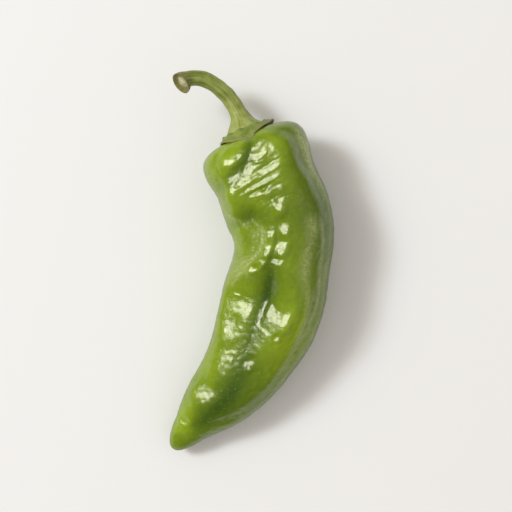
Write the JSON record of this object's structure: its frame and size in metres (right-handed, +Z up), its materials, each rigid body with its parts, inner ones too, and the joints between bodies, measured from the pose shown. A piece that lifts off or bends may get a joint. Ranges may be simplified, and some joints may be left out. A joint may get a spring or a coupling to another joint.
{
  "type": "chilli pepper",
  "caption": "Fresh green chilli pepper lying on its side: a bent, lobed pod tapering to a blunt tip, with its thin calyx and curved cut stem.",
  "frame": {"origin": "middle of the bounding box's lower face, on the surface that the pod lies on", "axes": "+Z up from that surface, +Y along the pod from the tip to the calyx end, +X to the outside of the pod's bend"},
  "size_m": [0.061, 0.142, 0.0384],
  "materials": {
    "pod_skin": "fresh, waxy green skin: glossy, yellow-green on the lobes and deeper green in the grooves",
    "calyx_green": "fresh leafy green, satin, with a thin dry brown edge",
    "stem_green": "olive green fibrous stalk, satin, with pale streaks along it and a dry, pale cut end"
  },
  "bodies": {
    "root": {"pod": "pod_skin", "calyx": "calyx_green", "stem": "stem_green"}
  },
  "joints": []
}
